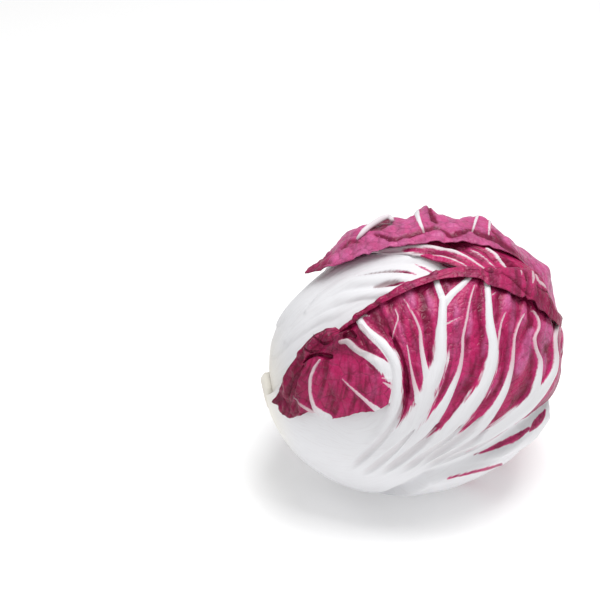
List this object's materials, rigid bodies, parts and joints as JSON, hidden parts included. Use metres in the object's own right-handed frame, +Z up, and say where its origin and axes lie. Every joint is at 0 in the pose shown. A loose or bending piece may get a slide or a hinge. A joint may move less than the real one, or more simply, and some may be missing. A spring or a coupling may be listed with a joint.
{
  "type": "radicchio",
  "caption": "Round head of radicchio lying on its side, with wrapped dark red and white leaves round a dense heart and a short cut stem.",
  "frame": {"origin": "centre of the head's base, on the surface it lies on", "axes": "+Z up; the cut stem points towards -X and a little down, the crown towards +X; the side with the torn leaf lobe faces -Y"},
  "size_m": [0.126, 0.1168, 0.1153],
  "materials": {
    "stem": "matte",
    "heart": "matte",
    "leaf_inner": "satin",
    "leaf_edge": "satin",
    "leaf_lower": "satin",
    "leaf_low_back": "satin",
    "leaf_front": "satin",
    "leaf_back": "satin"
  },
  "bodies": {
    "root": {"stem": "stem", "heart": "heart", "leaf_inner": "leaf_inner", "leaf_edge": "leaf_edge", "leaf_lower": "leaf_lower", "leaf_low_back": "leaf_low_back", "leaf_front": "leaf_front", "leaf_back": "leaf_back"}
  },
  "joints": []
}
